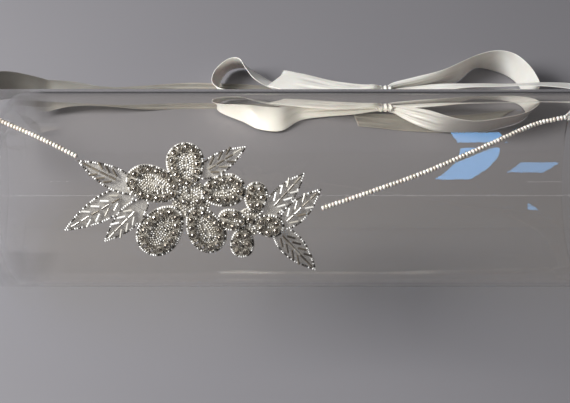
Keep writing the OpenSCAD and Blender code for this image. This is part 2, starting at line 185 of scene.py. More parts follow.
LOOP_LEFT = [
    (52.6, 122, 3, 90, 60, 0.42), (42, 122, 2, 90, 44, 0.6),
    (26, 121.5, 1.8, 90, 34, 0.76), (10, 118, 1.6, 90, 36, 0.92),
    (-2, 106, 1.2, 90, 44, 1), (-15, 105.5, 1.4, 90, 58, 1),
    (-24, 108.5, 1.6, 92, 86, 1), (-33, 113, 1.8, 100, 106, 1),
    (-39.5, 119.5, 1.8, 100, 122, 1), (-41.5, 130.5, 1.8, 76, 136, 1),
    (-39.3, 140, 1.6, 68, 132, 1), (-33.5, 146.5, 1.4, 78, 122, 1),
    (-26.5, 147.5, 1.6, 74, 124, 1), (-19.5, 140.5, 1.8, 54, 134, 1),
    (-11, 132, 2, 50, 144, 1), (5, 128.5, 2.2, 66, 160, 0.92),
    (28, 127.5, 2.6, 78, 168, 0.66), (52.6, 127.2, 3.6, 82, 162, 0.4),
]
LOOP_RIGHT = [
    (66.4, 120.4, 1.6, 90, 66, 0.46), (72, 113.3, 1.4, 90, 68, 0.64),
    (80, 105, 1.2, 90, 78, 0.84), (92, 96.4, 1, 90, 102, 1),
    (108, 94, 1, 92, 115, 1), (123, 97.6, 0.8, 104, 116, 1),
    (138.5, 105, 0.6, 130, 115, 1), (147, 115.5, 0.4, 160, 108, 1),
    (147, 126, 0.3, 180, 102, 1), (144.3, 136.5, 0.2, 205, 96, 1),
    (139, 145.2, 0.1, 240, 90, 1), (130, 150.4, 0, 264, 80, 1),
    (118, 150.6, 0, 274, 67, 1), (106, 139.8, 0.2, 272, 76, 1),
    (94, 132, 1, 270, 76, 0.94), (80, 129, 2, 269, 74, 0.7),
    (66.4, 127.8, 2.8, 268, 76, 0.44),
]
TAIL_UPPER = [
    (52.6, 120.5, 11.8, 74, 0, 0.36), (44, 119, 12, 72, 0, 0.52),
    (30, 118, 13.3, 72, -2, 0.76), (12, 121.5, 14.2, 72, -3, 0.98),
    (-4.5, 127.5, 13.7, 72, -3, 1),
]
TAIL_LOWER = [
    (42, 114, 0, 100, 0, 0.9), (58, 111.5, 0, 98, 0, 0.96),
    (74, 109.5, 0, 95, 0, 1), (90, 108.5, 0, 88, 0, 1),
    (106, 110, 0, 78, 0, 1), (120, 113.5, 0, 74, 0, 1),
    (130, 116.5, 0, 74, 0, 1),
]
TAIL_SLANT = 7.0
PLEAT_HIGH = 0.75
CURL_HIGH = 0.5
WAVE_HIGH = 0.12
# The knot: x, back, height of its middle
KNOT = (59.5, 124.0, 6.2)
KNOT_L = 12.0
KNOT_R = 4.9
KNOT_THICK = 0.3


# Places on the stand and on the flowers and leaves

def on_stand(x, w, high):
    """The point high above the stand's wall that lies behind a point of the face plane."""
    angle = math.radians(45) + math.asin(w / FACE_R)
    r = STAND_R + high
    return Vector((x, STAND_Y - r * math.cos(angle), STAND_Z + r * math.sin(angle)))


def outward(x, w):
    """The direction straight off the stand's wall at that point."""
    return (on_stand(x, w, 1.0) - on_stand(x, w, 0.0)).normalized()


def direction(x, w, dx, dw):
    """The direction on the stand's round that a step in the face plane takes."""
    reach = 0.2 / max(1e-6, math.hypot(dx, dw))
    ahead = on_stand(x + dx * reach, w + dw * reach, SEWN_HIGH)
    return (ahead - on_stand(x - dx * reach, w - dw * reach, SEWN_HIGH)).normalized()


def petal_point(petal, long, wide, angle):
    """The point of an egg round the petal's middle."""
    u = long * math.cos(angle)
    v = wide * math.sin(angle) * (1 + PETAL_EGG * math.cos(angle))
    turn = math.radians(petal[2])
    return (petal[0] + u * math.cos(turn) - v * math.sin(turn),
            petal[1] + u * math.sin(turn) + v * math.cos(turn))


def in_petal(stitch, petal, row, grow):
    """Whether a stitch lies inside a petal's net or row of stones, made wider by grow."""
    long = petal[row] + grow
    wide = petal[row + 1] + grow
    turn = math.radians(petal[2])
    x = stitch[0] - petal[0]
    w = stitch[1] - petal[1]
    u = x * math.cos(turn) + w * math.sin(turn)
    v = -x * math.sin(turn) + w * math.cos(turn)
    if abs(u) >= long:
        return False
    return abs(v) < wide * math.sqrt(1 - (u / long) ** 2) * (1 + PETAL_EGG * u / long)


def in_net(stitch, petals, middle, grow):
    """Whether a stitch lies on a flower's net, made wider by grow."""
    if math.hypot(stitch[0] - middle[0], stitch[1] - middle[1]) < middle[2] + grow:
        return True
    return any(in_petal(stitch, petal, NET, grow) for petal in petals)


def leaf_half(t):
    """Half the width of a leaf at t from 0 at its base to 1 at its tip, as a share of the widest."""
    return max(0.0, math.sin(math.pi * min(1.0, max(0.0, t)) ** LEAF_LOW)) ** LEAF_FULL


def leaf_line(leaf):
    """A leaf's length and the direction of its midrib."""
    x = leaf[2] - leaf[0]
    w = leaf[3] - leaf[1]
    long = math.hypot(x, w)
    return long, x / long, w / long


def leaf_point(leaf, t, side):
    """The point at t along the leaf and side off its midrib."""
    long, ax, aw = leaf_line(leaf)
    return (leaf[0] + t * long * ax - side * aw, leaf[1] + t * long * aw + side * ax)


def in_leaf(stitch, leaf, grow):
    """Whether a stitch lies on the leaf, made wider by grow."""
    long, ax, aw = leaf_line(leaf)
    x = stitch[0] - leaf[0]
    w = stitch[1] - leaf[1]
    t = (x * ax + w * aw) / long
    side = -x * aw + w * ax
    return 0 < t < 1 and abs(side) < (leaf[4] + grow) * leaf_half(t)


def evenly(line, spacing, closed=True):
    """Places evenly spaced along a fine line of face plane points, each with the line's step there."""
    points = [on_stand(x, w, SEWN_HIGH) for x, w in line]
    run = [0.0]
    for a, b in zip(points, points[1:]):
        run.append(run[-1] + (b - a).length)
    count = max(3, round(run[-1] / spacing))
    places = []
    k = 0
    for i in range(count if closed else count + 1):
        want = run[-1] * i / count
        while k < len(run) - 2 and run[k + 1] < want:
            k += 1
        share = (want - run[k]) / max(1e-9, run[k + 1] - run[k])
        x0, w0 = line[k]
        x1, w1 = line[k + 1]
        places.append((x0 + (x1 - x0) * share, w0 + (w1 - w0) * share, x1 - x0, w1 - w0))
    return places


def egg(petal, row, grow, step):
    """A closed line round a petal's net or stones, made wider by grow, with a point each step degrees."""
    long = petal[row] + grow
    wide = petal[row + 1] + grow
    return [petal_point(petal, long, wide, math.radians(a)) for a in range(0, 361, step)]


def stone_places(petal):
    """The places of the stones round a petal: every other one of twice as many."""
    line = egg(petal, STONES, 0, 5)
    points = [on_stand(x, w, 1.3) for x, w in line]
    whole = sum((b - a).length for a, b in zip(points, points[1:]))
    return evenly(line, whole / (2 * petal[7]))[1::2]


# Geometry node trees for what repeats

def new_tree(name, sizes):
    """A tree with a points input, a finish input and the named sizes."""
    tree = bpy.data.node_groups.new(name, "GeometryNodeTree")
    tree.interface.new_socket("Points", in_out="INPUT", socket_type="NodeSocketGeometry")
    for label, value in sizes.items():
        kind = "NodeSocketInt" if isinstance(value, int) else "NodeSocketFloat"
        socket = tree.interface.new_socket(label, in_out="INPUT", socket_type=kind)
        socket.default_value = value
    tree.interface.new_socket("Finish", in_out="INPUT", socket_type="NodeSocketMaterial")
    tree.interface.new_socket("Mesh", in_out="OUTPUT", socket_type="NodeSocketGeometry")
    return tree, tree.nodes.new("NodeGroupInput").outputs


def add(tree, kind, wires=None, result=0, **settings):
    """One result of a new node of that kind, with its settings and its sockets filled."""
    made = tree.nodes.new(kind)
    for key, value in settings.items():
        setattr(made, key, value)
    for socket, value in (wires or {}).items():
        plug = made.inputs[socket]
        if isinstance(value, bpy.types.NodeSocket):
            tree.links.new(value, plug)
        else:
            plug.default_value = value
    return made.outputs[result]


def number(tree, operation, a, b=0.0):
    """A number worked out from one or two others."""
    return add(tree, "ShaderNodeMath", {0: a, 1: b}, operation=operation)


def vector(tree, x=0.0, y=0.0, z=0.0):
    """A vector of three numbers."""
    return add(tree, "ShaderNodeCombineXYZ", {"X": x, "Y": y, "Z": z})


def part(tree, whole, axis):
    """One of a vector's three numbers."""
    return add(tree, "ShaderNodeSeparateXYZ", {0: whole}, axis)


def joined(tree, shapes):
    """Several shapes as one."""
    join = tree.nodes.new("GeometryNodeJoinGeometry")
    for shape in shapes:
        tree.links.new(shape, join.inputs[0])
    return join.outputs[0]


def moved(tree, shape, to, turn=0.0):
    """A shape carried to a place and turned about its own Z."""
    return add(tree, "GeometryNodeTransform", {
        "Geometry": shape, "Translation": to, "Rotation": (0, 0, math.radians(turn))})


def swept(tree, sides, radius, section):
    """A section carried round a circle."""
    path = add(tree, "GeometryNodeCurvePrimitiveCircle", {"Resolution": sides, "Radius": radius})
    return add(tree, "GeometryNodeCurveToMesh", {"Curve": path, "Profile Curve": section})


def corners(tree, count, radius, height, turn):
    """The corners of a flat ring at a height."""
    ring = add(tree, "GeometryNodeMeshCircle", {"Vertices": count, "Radius": radius})
    return moved(tree, ring, vector(tree, z=height), turn)


def marked(tree, shape, name, value, domain):
    """The shape with a number kept on each of its points or faces."""
    return add(tree, "GeometryNodeStoreNamedAttribute", {"Geometry": shape, "Name": name, "Value": value},
               data_type="FLOAT", domain=domain)


def sew_on(tree, given, one, smooth):
    """Ends a tree: one of the shapes stands on each point, as plain mesh with its finish."""
    turn = add(tree, "GeometryNodeInputNamedAttribute", {"Name": "turn"}, data_type="QUATERNION")
    size = add(tree, "GeometryNodeInputNamedAttribute", {"Name": "size"}, data_type="FLOAT_VECTOR")
    shaded = add(tree, "GeometryNodeSetShadeSmooth", {"Geometry": one, "Shade Smooth": smooth})
    stood = add(tree, "GeometryNodeInstanceOnPoints", {
        "Points": given["Points"], "Instance": shaded, "Rotation": turn, "Scale": size})
    real = add(tree, "GeometryNodeRealizeInstances", {"Geometry": stood})
    done = add(tree, "GeometryNodeSetMaterial", {"Geometry": real, "Material": given["Finish"]})
    end = tree.nodes.new("NodeGroupOutput")
    tree.links.new(done, end.inputs["Mesh"])


def bead_tree():
    """Round beads with a hole along their own Z."""
    tree, given = new_tree("threaded_beads", {
        "Bead radius": BEAD_R * MM, "Hole radius": 0.16 * MM, "Bead length": 1.15 * MM,
        "Sides": 8, "Ring sides": 5})
    both_walls = number(tree, "SUBTRACT", given["Bead radius"], given["Hole radius"])
    wall = number(tree, "MULTIPLY", both_walls, 0.5)
    middle = number(tree, "ADD", given["Hole radius"], wall)
    section = add(tree, "GeometryNodeCurvePrimitiveCircle", {
        "Resolution": given["Ring sides"], "Radius": wall})
    ring = swept(tree, given["Sides"], middle, section)
    stretch = number(tree, "DIVIDE", given["Bead length"], number(tree, "MULTIPLY", wall, 2.0))
    long = add(tree, "GeometryNodeTransform", {"Geometry": ring, "Scale": vector(tree, 1.0, 1.0, stretch)})
    # How far each point lies towards the bead's end, which the seed beads' finish darkens as painted shade
    along = part(tree, add(tree, "GeometryNodeInputPosition"), "Z")
    half = number(tree, "MULTIPLY", given["Bead length"], 0.5)
    end = number(tree, "DIVIDE", number(tree, "ABSOLUTE", along), half)
    sew_on(tree, given, marked(tree, long, "end", end, "POINT"), True)
    return tree


def bugle_tree():
    """Straight tubes with a hole along their own Z, one metre long before they are scaled."""
    tree, given = new_tree("bugle_beads", {"Tube radius": 0.5 * MM, "Hole radius": 0.2 * MM, "Sides": 10})
    wall = number(tree, "SUBTRACT", given["Tube radius"], given["Hole radius"])
    both = number(tree, "ADD", given["Tube radius"], given["Hole radius"])
    section = add(tree, "GeometryNodeCurvePrimitiveQuadrilateral", {"Width": wall, "Height": 1.0})
    tube = swept(tree, given["Sides"], number(tree, "MULTIPLY", both, 0.5), section)
    sew_on(tree, given, tube, False)
    return tree


def stone_tree():
    """Cut stones: an eight sided table, kites and girdle facets, with a number on each facet."""
    tree, given = new_tree("cut_stones", {
        "Stone radius": 1.46 * MM, "Foot share": 0.9, "Kite share": 0.82, "Table share": 0.42,
        "Crown height": 0.95 * MM, "Belly height": 0.6 * MM})
    levels = []
    # Each level: corners, radius as a share, height as shares of the belly and of the crown, turn
    for count, share, belly, crown, turn in (
            (16, given["Foot share"], 0.0, 0.0, 0), (16, 1.0, 1.0, 0.0, 0),
            (8, given["Kite share"], 1.0, KITE_HIGH, 22.5), (8, given["Table share"], 1.0, 1.0, 0)):
        radius = number(tree, "MULTIPLY", given["Stone radius"], share)
        below = number(tree, "MULTIPLY", given["Belly height"], belly)
        above = number(tree, "MULTIPLY", given["Crown height"], crown)
        levels.append(corners(tree, count, radius, number(tree, "ADD", below, above), turn))
    hull = add(tree, "GeometryNodeConvexHull", {"Geometry": joined(tree, levels)})
    facet = add(tree, "GeometryNodeInputIndex")
    sew_on(tree, given, marked(tree, hull, "facet", facet, "FACE"), False)
    return tree


def cup_tree():
    """Metal cups with four prongs, open above."""
    tree, given = new_tree("stone_cups", {
        "Cup radius": STONE_R * MM, "Wall": 0.14 * MM, "Cup height": 1.35 * MM, "Prong width": 0.5 * MM,
        "Prong stretch": 1.9, "Sides": 16})
    wide = number(tree, "SUBTRACT", given["Cup radius"], given["Wall"])
    section = add(tree, "GeometryNodeCurvePrimitiveQuadrilateral", {
        "Width": given["Wall"], "Height": given["Cup height"]})
    half = number(tree, "MULTIPLY", given["Cup height"], 0.5)
    wall = moved(tree, swept(tree, given["Sides"], wide, section), vector(tree, z=half))
    prong = add(tree, "GeometryNodeMeshUVSphere", {"Segments": 6, "Rings": 4, "Radius": 0.5})
    tall = number(tree, "MULTIPLY", given["Prong width"], given["Prong stretch"])
    prongs = add(tree, "GeometryNodeInstanceOnPoints", {
        "Points": corners(tree, 4, wide, given["Cup height"], 45), "Instance": prong,
        "Scale": vector(tree, given["Prong width"], given["Prong width"], tall)})
    sew_on(tree, given, joined(tree, [wall, prongs]), False)
    return tree


class Spot:
    """Where one bead or stone is sewn: its place, its own Z and Y, its size and its tone."""

    def __init__(self, place, along, out, size, tone):
        self.place = place
        self.size = size
        self.tone = tone
        z = along.normalized()
        y = (out - z * out.dot(z)).normalized()
        x = y.cross(z)
        self.turn = Matrix((x, y, z)).transposed().to_quaternion()


def grown(name, spots, tree, sizes, finish):
    """A piece: the plain mesh that a tree makes on the spots."""
    points = bpy.data.meshes.new(name + "_points")
    points.from_pydata([s.place * MM for s in spots], [], [])
    for label, kind, field, values in (
            ("turn", "QUATERNION", "value", [v for s in spots for v in s.turn]),
            ("size", "FLOAT_VECTOR", "vector", [v for s in spots for v in s.size]),
            ("tone", "FLOAT", "value", [s.tone for s in spots])):
        points.attributes.new(label, kind, "POINT").data.foreach_set(field, values)
    holder = bpy.data.objects.new(name + "_points", points)
    bpy.context.scene.collection.objects.link(holder)
    grow = holder.modifiers.new("grow", "NODES")
    grow.node_group = tree
    sizes = dict(sizes, Finish=finish)
    for item in tree.interface.items_tree:
        if item.in_out == "INPUT" and item.name in sizes:
            grow[item.identifier] = sizes[item.name]
    bpy.context.view_layer.update()
    depsgraph = bpy.context.evaluated_depsgraph_get()
    mesh = bpy.data.meshes.new_from_object(holder.evaluated_get(depsgraph))
    mesh.name = name
    bpy.data.objects.remove(holder)
    bpy.data.meshes.remove(points)
    mesh.materials.clear()
    mesh.materials.append(finish)
    return placed(name, mesh)


def placed(name, mesh):
    """An object for the mesh, at the origin."""
    piece = bpy.data.objects.new(name, mesh)
    bpy.context.scene.collection.objects.link(piece)
    return piece


def smooth_piece(name, mesh, finish):
    """A smoothly shaded piece with its finish."""
    mesh.polygons.foreach_set("use_smooth", [True] * len(mesh.polygons))
    mesh.materials.append(finish)
    return placed(name, mesh)


def row_mesh(name, verts, across):
    """A mesh of points laid out row by row, with across faces between two rows."""
    faces = []
    for start in range(0, len(verts) - across - 1, across + 1):
        for a in range(start, start + across):
            faces.append((a, a + 1, a + across + 2, a + across + 1))
    mesh = bpy.data.meshes.new(name)
    mesh.from_pydata(verts, [], faces)
    return mesh


def facing_out(mesh):
    """Merges a mesh's doubles and turns its faces outwards."""
    work = bmesh.new()
    work.from_mesh(mesh)
    bmesh.ops.remove_doubles(work, verts=work.verts, dist=1e-7)
    bmesh.ops.recalc_face_normals(work, faces=work.faces)
    work.to_mesh(mesh)
    work.free()


# Finishes

def new_finish(name, colour, **values):
    """A material with its surface shader set."""
    finish = bpy.data.materials.new(name)
    finish.use_nodes = True
    shader = finish.node_tree.nodes["Principled BSDF"]
    shader.inputs["Base Color"].default_value = (*colour, 1)
    for key, value in values.items():
        shader.inputs[key.replace("_", " ")].default_value = value
    return finish, finish.node_tree, shader


def own_number(tree, name):
    """A number that the mesh carries on its points or faces."""
    return add(tree, "ShaderNodeAttribute", None, "Fac", attribute_name=name, attribute_type="GEOMETRY")


def ramp(tree, value, stops):
    """Colours along a number from 0 to 1."""
    made = add(tree, "ShaderNodeValToRGB", {"Fac": value})
    elements = made.node.color_ramp.elements
    while len(elements) < len(stops):
        elements.new(0.5)
    for element, (place, colour) in zip(elements, stops):
        element.position = place
        element.color = (*colour, 1)
    return made


def coloured(tree, shader, value, stops):
    """Gives the shader colours along a number."""
    tree.links.new(ramp(tree, value, stops), shader.inputs["Base Color"])


def spread(tree, value, low, high, to_low=0.0, to_high=1.0):
    """A number carried from one range to another."""
    return add(tree, "ShaderNodeMapRange", {
        "Value": value, "From Min": low, "From Max": high, "To Min": to_low, "To Max": to_high})


def object_place(tree):
    """A point's own coordinates."""
    return add(tree, "ShaderNodeTexCoord", None, "Object")


def noise(tree, scale, detail, place=None):
    """Soft clouds from 0 to 1 over the piece."""
    return add(tree, "ShaderNodeTexNoise", {
        "Vector": place or object_place(tree), "Scale": scale, "Detail": detail})


def bumped(tree, shader, height, strength, distance):
    """Gives the shader's surface a fine relief."""
    bump = add(tree, "ShaderNodeBump", {"Height": height, "Strength": strength, "Distance": distance})
    tree.links.new(bump, shader.inputs["Normal"])


def thread_cells(tree, scale):
    """How far a point is from the nearest thread of a fine net."""
    return add(tree, "ShaderNodeTexVoronoi", {"Vector": object_place(tree), "Scale": scale},
               feature="DISTANCE_TO_EDGE")


def glass_finish():
    """Clear polished glass, fainter at its closed end. The lamps' light passes through it."""
    finish, tree, shader = new_finish("clear_glass", (0.985, 0.97, 0.945), Roughness=0.0, IOR=1.48,
                                      Transmission_Weight=1.0)
    bumped(tree, shader, noise(tree, 9.0, 1.0), 0.05, 0.002)
    there = spread(tree, part(tree, object_place(tree), "X"), FADE_START, FADE_STOP, FADE_TO, 1.0)
    tree.links.new(there, shader.inputs["Alpha"])
    clear = add(tree, "ShaderNodeBsdfTransparent", {"Color": (0.985, 0.98, 0.965, 1)})
    shadow = add(tree, "ShaderNodeLightPath", None, "Is Shadow Ray")
    mix = add(tree, "ShaderNodeMixShader", {0: shadow, 1: shader.outputs[0], 2: clear})
    tree.links.new(mix, tree.nodes["Material Output"].inputs["Surface"])
    return finish


def cream_net_finish():
    """The flowers' backing: cream net with its fine mesh and uneven tone."""
    finish, tree, shader = new_finish("cream_net", (0.7, 0.66, 0.58), Roughness=0.6, Sheen_Weight=0.15)
    coloured(tree, shader, noise(tree, 700.0, 3.0), [
        (0.3, (0.62, 0.57, 0.48)), (0.7, (0.97, 0.94, 0.87))])
    bumped(tree, shader, thread_cells(tree, 1600.0), 0.5, 0.0002)
    return finish


def tulle_finish():
    """The leaves' backing: sheer tulle, mostly holes between fine threads."""
    finish, tree, shader = new_finish("sheer_tulle", (0.74, 0.72, 0.68), Roughness=0.5, Sheen_Weight=0.2)
    threads = spread(tree, thread_cells(tree, 1500.0), 0.05, 0.16, 0.85, 0.12)
    tree.links.new(threads, shader.inputs["Alpha"])
    coloured(tree, shader, noise(tree, 300.0, 2.0), [
        (0.3, (0.7, 0.66, 0.57)), (0.7, (0.92, 0.89, 0.82))])
    return finish


def lined_glass_finish(name, stops, roughness):
    """Silver lined glass beads: their tone differs from bead to bead, and their ends get painted shade
    where they meet their neighbours.
    """
    finish, tree, shader = new_finish(name, (0.8, 0.79, 0.76), Roughness=roughness, Metallic=0.1,
                                      Coat_Weight=1.0, Coat_Roughness=0.03)
    colour = ramp(tree, own_number(tree, "tone"), stops)
    # Painted shade: each bead darker towards its ends, where it meets the next
    light = ramp(tree, own_number(tree, "end"), [(0.65, (1, 1, 1)), (1.0, (0.3, 0.26, 0.21))])
    # Sockets 6 and 7 of a mix node are its colours, and result 2 is the mixed one
    both = add(tree, "ShaderNodeMix", {6: colour, 7: light, 0: 1.0}, 2, data_type="RGBA",
               blend_type="MULTIPLY")
    tree.links.new(both, shader.inputs["Base Color"])
    bumped(tree, shader, noise(tree, 2200.0, 1.0), 0.25, 0.00015)
    return finish


def pearl_finish():
    """Cream pearl coating, a little lighter or darker from bead to bead."""
    finish, tree, shader = new_finish("cream_pearl", (0.74, 0.66, 0.53), Roughness=0.2,
                                      Coat_Weight=1.0, Coat_Roughness=0.04, Specular_IOR_Level=1.0,
                                      Subsurface_Weight=0.1, Subsurface_Scale=0.0006)
    clouds = noise(tree, 900.0, 1.0)
    tone = number(tree, "MULTIPLY", number(tree, "ADD", own_number(tree, "tone"), clouds), 0.5)
    coloured(tree, shader, tone, [
        (0.2, (0.48, 0.42, 0.34)), (0.5, (0.72, 0.67, 0.59)), (0.8, (0.88, 0.85, 0.79))])
    return finish


def crystal_finish():
    """Foiled crystal: each facet gets its own random brightness, a painted reflection that stands in for
    the foil seen through it.
    """
    finish, tree, shader = new_finish("foiled_crystal", (0.2, 0.19, 0.18), Roughness=0.2,
                                      Metallic=0.9, Coat_Weight=1.0, Coat_Roughness=0.01)
    both = vector(tree, own_number(tree, "facet"), own_number(tree, "tone"))
    chance = add(tree, "ShaderNodeTexWhiteNoise", {"Vector": both}, noise_dimensions="3D")
    # Painted reflections of the foil: dark, middling and a few white facets at random
    coloured(tree, shader, chance, [
        (0.0, (0.07, 0.055, 0.04)), (0.5, (0.22, 0.185, 0.145)), (0.8, (0.42, 0.36, 0.29)),
        (0.94, (1.0, 0.98, 0.94))])
    return finish


def cup_finish():
    """Bright silver plate with a trace of brushing."""
    finish, tree, shader = new_finish("silver_cups", (0.5, 0.47, 0.42), Roughness=0.22, Metallic=0.45)
    coloured(tree, shader, noise(tree, 1400.0, 1.0), [
        (0.35, (0.28, 0.25, 0.2)), (0.65, (0.7, 0.66, 0.58))])
    return finish


def satin_finish(name, dark, light, roughness):
    """Satin: fine threads along the ribbon, a firmer woven edge and soft clouding."""
    finish, tree, shader = new_finish(name, light, Roughness=roughness, Anisotropic=0.55,
                                      Sheen_Weight=0.25, Sheen_Roughness=0.4, Specular_IOR_Level=0.6,
                                      Subsurface_Weight=0.08, Subsurface_Scale=0.001)
    grid = add(tree, "ShaderNodeUVMap", uv_map="ribbon")
    fine = add(tree, "ShaderNodeMapping", {"Vector": grid, "Scale": (9000.0, 300.0, 1.0)})
    threads = noise(tree, 1.0, 1.0, fine)
    coloured(tree, shader, noise(tree, 90.0, 2.0, grid), [(0.25, dark), (0.75, light)])
    off_middle = number(tree, "ABSOLUTE", part(tree, grid, "X"))
    edge = spread(tree, off_middle, 0.0084, 0.0088)
    height = number(tree, "ADD", number(tree, "MULTIPLY", threads, 0.25), edge)
    bumped(tree, shader, height, 0.3, 0.0001)
    tangent = add(tree, "ShaderNodeTangent", direction_type="UV_MAP", uv_map="ribbon")
    tree.links.new(tangent, shader.inputs["Tangent"])
    return finish


def floor_finish():
    """Plain pale studio floor."""
    finish, tree, shader = new_finish("pale_floor", (0.27, 0.262, 0.28), Roughness=0.7)
    coloured(tree, shader, noise(tree, 3.0, 2.0), [
        (0.3, (0.262, 0.254, 0.272)), (0.7, (0.278, 0.27, 0.288))])
    return finish


# The camera, the floor and the light

CAMERA_REACH = 600.0
CAMERA_DOWN = 45
# The stand's axis lies 13.5 pixels above the middle of a photo 570 pixels wide
PHOTO_WIDTH = 570
PHOTO_SHIFT = -13.5
WHITE = (1, 1, 1)
SKY_BLUE = (0.16, 0.5, 1.0)


def set_camera():
    """The photograph's angle: 45 degrees down on the stand, 600 mm from its axis."""
    data = bpy.data.cameras.new("camera")
    data.lens = 75.5
    data.sensor_width = 36
    data.shift_y = PHOTO_SHIFT / PHOTO_WIDTH
    data.clip_start = 0.01
    camera = bpy.data.objects.new("camera", data)
    reach = CAMERA_REACH * math.sqrt(0.5)
    camera.location = Vector((0, STAND_Y - reach, STAND_Z + reach)) * MM
    camera.rotation_euler = (math.radians(CAMERA_DOWN), 0, 0)
    bpy.context.scene.collection.objects.link(camera)
    bpy.context.scene.camera = camera


def soft_box(name, place, target, size, power, colour, lights):
    """A flat lamp that faces its target and lights only one group of pieces."""
    data = bpy.data.lights.new(name, "AREA")
    data.shape = "RECTANGLE"
    data.size = size[0]
    data.size_y = size[1]
    data.energy = power
    data.color = colour
    lamp = bpy.data.objects.new(name, data)
    lamp.location = place
    lamp.rotation_euler = (Vector(target) - Vector(place)).to_track_quat("-Z", "Y").to_euler()
    bpy.context.scene.collection.objects.link(lamp)
    lamp.light_linking.receiver_collection = lights
    return lamp


def flat_sheet(name, size, finish):
    """A square sheet on the floor that is part of the studio."""
    bpy.ops.mesh.primitive_plane_add(size=size)
    sheet = bpy.context.object
    sheet.name = name
    sheet.data.materials.append(finish)
    return sheet


def set_studio(clear_things, not_clear, sewn_things, satin_things):
    """A pale floor, light from a window on the left, lamps for some of the pieces and a dim room."""
    bpy.context.scene.view_settings.view_transform = "Standard"
    flat_sheet("floor", 8, floor_finish())
    # A black flag behind the stand, seen only through the glass, draws the dark line along its top edge
    black = new_finish("black_cloth", (0.002, 0.002, 0.002), Roughness=1.0)[0]
    flag = flat_sheet("black_flag", 1, black)
    flag.dimensions = (1.4, 0.2, 0)
    flag.location = (0, 0.335, 0.001)
    for rays in ("camera", "diffuse", "glossy", "shadow"):
        setattr(flag, "visible_" + rays, False)
    # The panes and the long edge light only the glass, which mirrors them on its outer surface
    for name, place, target, size, power, colour, lights in (
            ("window_left", (-0.78, -0.12, 0.64), (0, -0.08, 0.02), (0.6, 0.36), 12.5, WHITE, not_clear),
            ("pane_front", (0.335, -0.6, 1.6), (0.335, -0.6, 0), (0.07, 1.12), 2.8, SKY_BLUE, clear_things),
            ("pane_back", (0.342, 0.32, 1.6), (0.342, 0.32, 0), (0.09, 0.37), 1.2, SKY_BLUE, clear_things),
            ("small_pane", (0.453, -0.69, 1.6), (0.453, -0.69, 0), (0.068, 0.36), 0.65, SKY_BLUE,
             clear_things),
            ("long_edge", (0, -1.05, 0.8), (0, -0.087, 0.083), (2.6, 0.02), 0.4, WHITE, clear_things),
            ("ribbon_light", (-0.4, -0.95, 0.16), (0, 0.05, 0.01), (0.4, 0.25), 10, WHITE, satin_things),
            ("glint_left", (-0.9, -0.4, 0.6), (0, -0.09, 0.09), (0.6, 0.6), 11, WHITE, sewn_things)):
        lamp = soft_box(name, place, target, size, power, colour, lights)
        lamp.visible_transmission = lights is not clear_things
    world = bpy.data.worlds.new("room")
    bpy.context.scene.world = world
    world.use_nodes = True
    tree = world.node_tree
    ray = add(tree, "ShaderNodeTexCoord", None, "Generated")
    # The room is lighter high up and to the left
    left = number(tree, "MULTIPLY", number(tree, "MINIMUM", part(tree, ray, "X"), 0.0), 0.9)
    lit = number(tree, "SUBTRACT", part(tree, ray, "Z"), left)
    sky = ramp(tree, spread(tree, lit, -0.1, 1.0), [
        (0.0, (0.2, 0.19, 0.178)), (0.35, (0.13, 0.128, 0.127)), (0.6, (0.11, 0.11, 0.113)),
        (1.0, (0.24, 0.24, 0.246))])
    tree.links.new(sky, tree.nodes["Background"].inputs["Color"])
    tree.nodes["Background"].inputs["Strength"].default_value = 1.0


# The clear cylinder

def arc(middle_r, middle_z, radius, start, stop, steps):
    """Points of a quarter round in the section: radius out and height along the axis."""
    points = []
    for k in range(steps + 1):
        angle = math.radians(start + (stop - start) * k / steps)
        points.append((middle_r + radius * math.cos(angle), middle_z + radius * math.sin(angle)))
    return points


def make_cylinder(finish):
    """The cylinder turned from its section, with rounded edges, lip and inner corner."""
    inner = STAND_R - STAND_WALL
    lip = STAND_WALL / 2 - 0.01
    corner = 8.0
    # Each straight stretch has a ring just inside its ends, which keeps its shading straight
    near = 0.05
    section = [(0.0, 0.0), (STAND_R - STAND_ROUND - near, 0.0)]
    section += arc(STAND_R - STAND_ROUND, STAND_ROUND, STAND_ROUND, -90, 0, 8)
    section += [(STAND_R, STAND_ROUND + near), (STAND_R, STAND_L - lip - near)]
    section += arc(STAND_R - lip, STAND_L - lip, lip, 0, 90, 6)
    section += arc(inner + lip, STAND_L - lip, lip, 90, 180, 6)
    section += [(inner, STAND_L - lip - near), (inner, STAND_BASE + corner + near)]
    section += arc(inner - corner, STAND_BASE + corner, corner, 0, -90, 10)
    section += [(inner - corner - near, STAND_BASE), (0.0, STAND_BASE)]
    sides = 192
    verts = []
    for r, z in section:
        for k in range(sides + 1):
            angle = math.tau * k / sides
            verts.append(Vector((z - STAND_L / 2, STAND_Y + r * math.cos(angle),
                                 STAND_Z + r * math.sin(angle))) * MM)
    mesh = row_mesh("glass_cylinder", verts, sides)
    facing_out(mesh)
    return smooth_piece("glass_cylinder", mesh, finish)


# The net of flowers and leaves

def thin_net(name, node, finish):
    """The flower's backing: its solid, made thinner towards the stand."""
    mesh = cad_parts[node].data.copy()
    mesh.name = name
    for vertex in mesh.vertices:
        y = vertex.co.y / MM - STAND_Y
        z = vertex.co.z / MM - STAND_Z
        r = math.hypot(y, z)
        thin = STAND_R + NET_LOW + (r - STAND_R - NET_SOLID_LOW) * NET_THIN
        vertex.co.y = (STAND_Y + y * thin / r) * MM
        vertex.co.z = (STAND_Z + z * thin / r) * MM
    facing_out(mesh)
    mesh.materials.clear()
    mesh.materials.append(finish)
    return placed(name, mesh)


